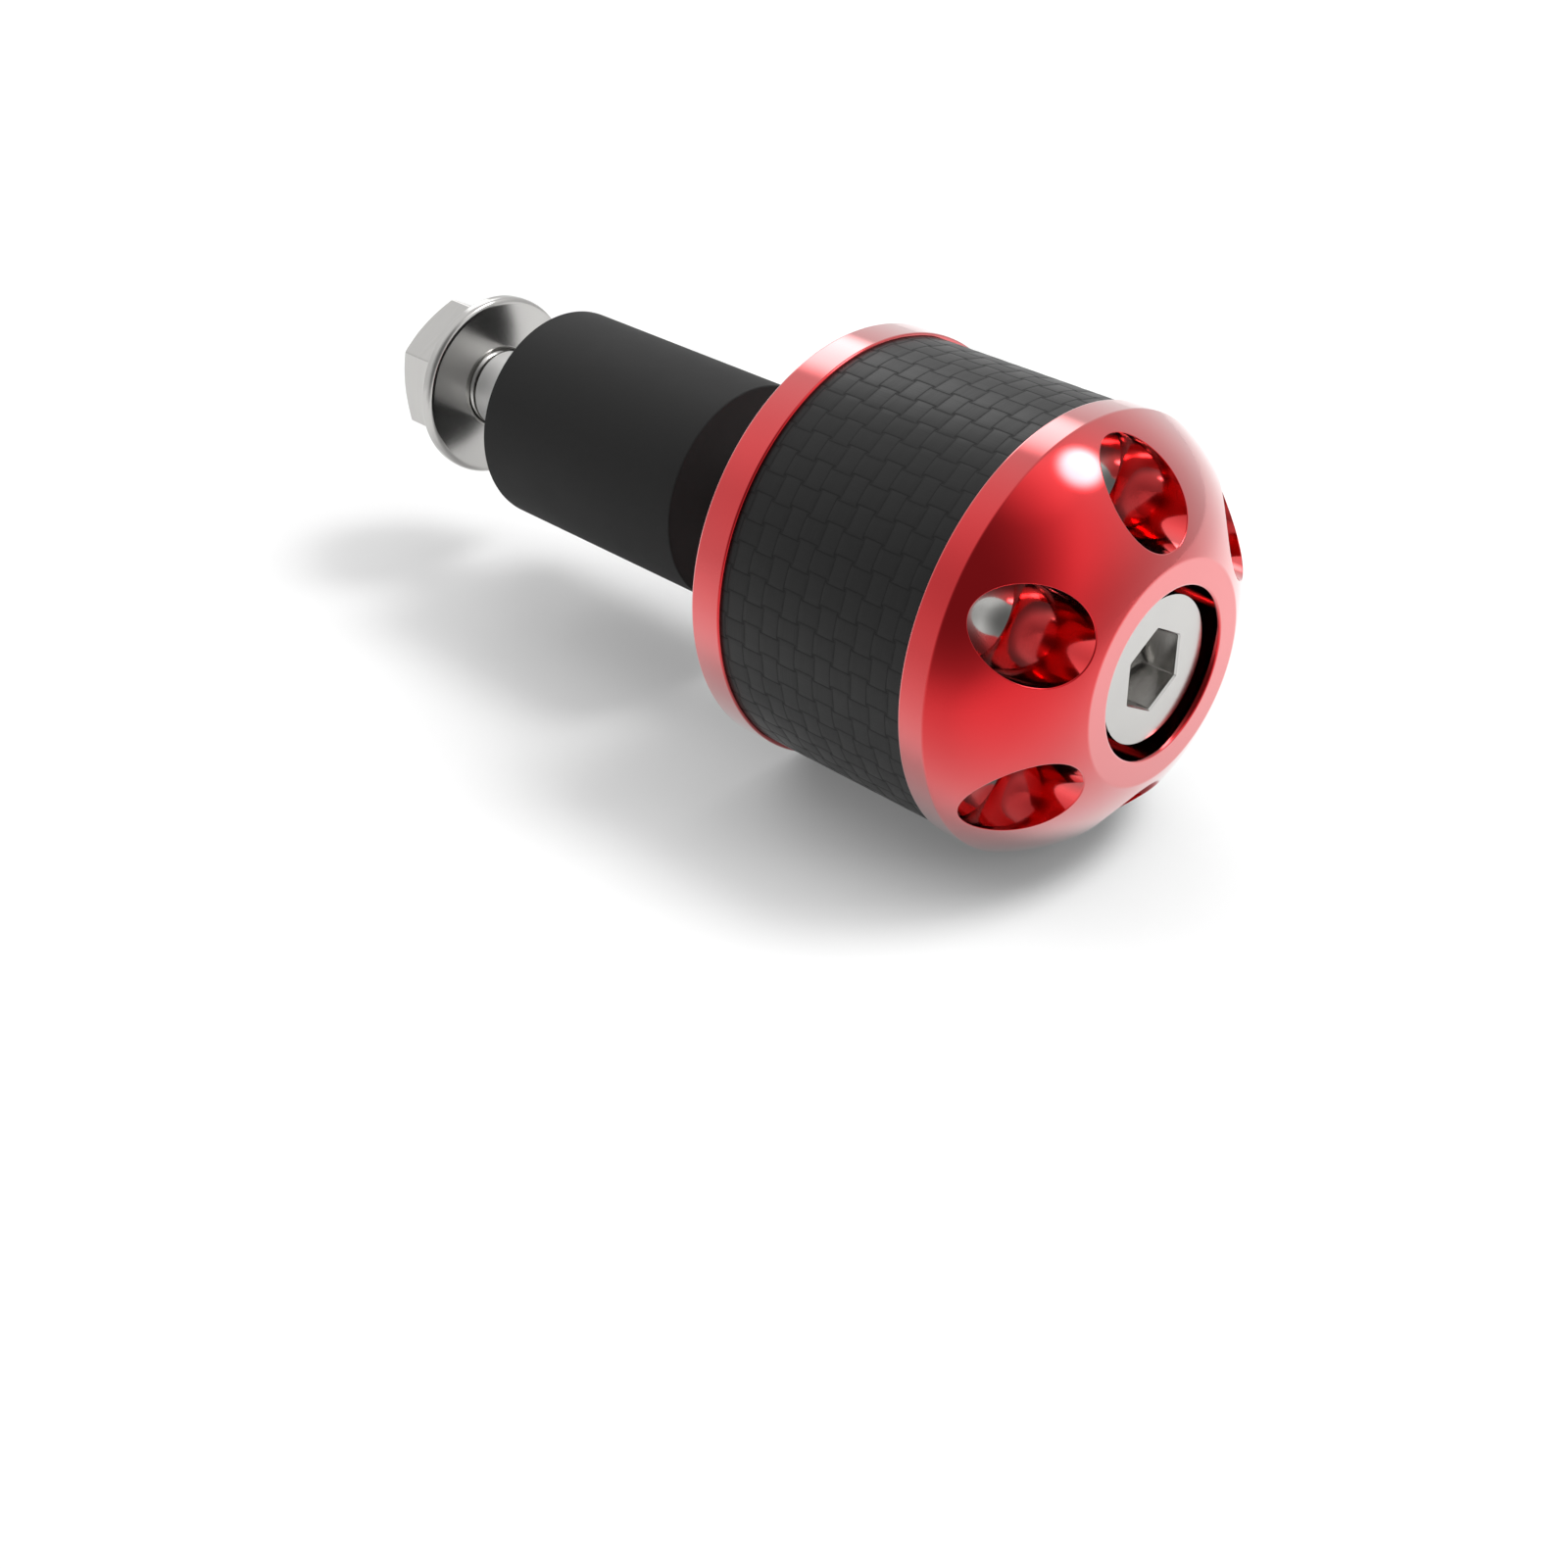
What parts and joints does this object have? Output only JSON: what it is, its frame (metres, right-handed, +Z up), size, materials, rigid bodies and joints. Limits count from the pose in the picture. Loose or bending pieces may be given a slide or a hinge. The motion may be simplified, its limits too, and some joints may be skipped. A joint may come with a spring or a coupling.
{
  "type": "handlebar end weight",
  "caption": "Round motorbike handlebar end weight: red domed nose with a ring of ports, woven carbon sleeve, rear collar and a rubber expander plug drawn up by a through screw and flange nut.",
  "frame": {"origin": "on the axis, at the middle of the rubber plug that goes in the handlebar's bore", "axes": "+X along the axis towards the domed nose, +Z up through one of the nose's ports"},
  "size_m": [0.0718, 0.03, 0.03],
  "materials": {
    "red_anodised": "polished, anodised red",
    "carbon_weave": "satin woven carbon composite",
    "black_rubber": "matt moulded rubber",
    "bright_steel": "bright plated steel"
  },
  "bodies": {
    "root": {"nose_cap": "red_anodised", "rear_collar": "red_anodised", "carbon_sleeve": "carbon_weave", "rubber_plug": "black_rubber", "clamp_screw": "bright_steel", "flange_nut": "bright_steel"}
  },
  "joints": []
}
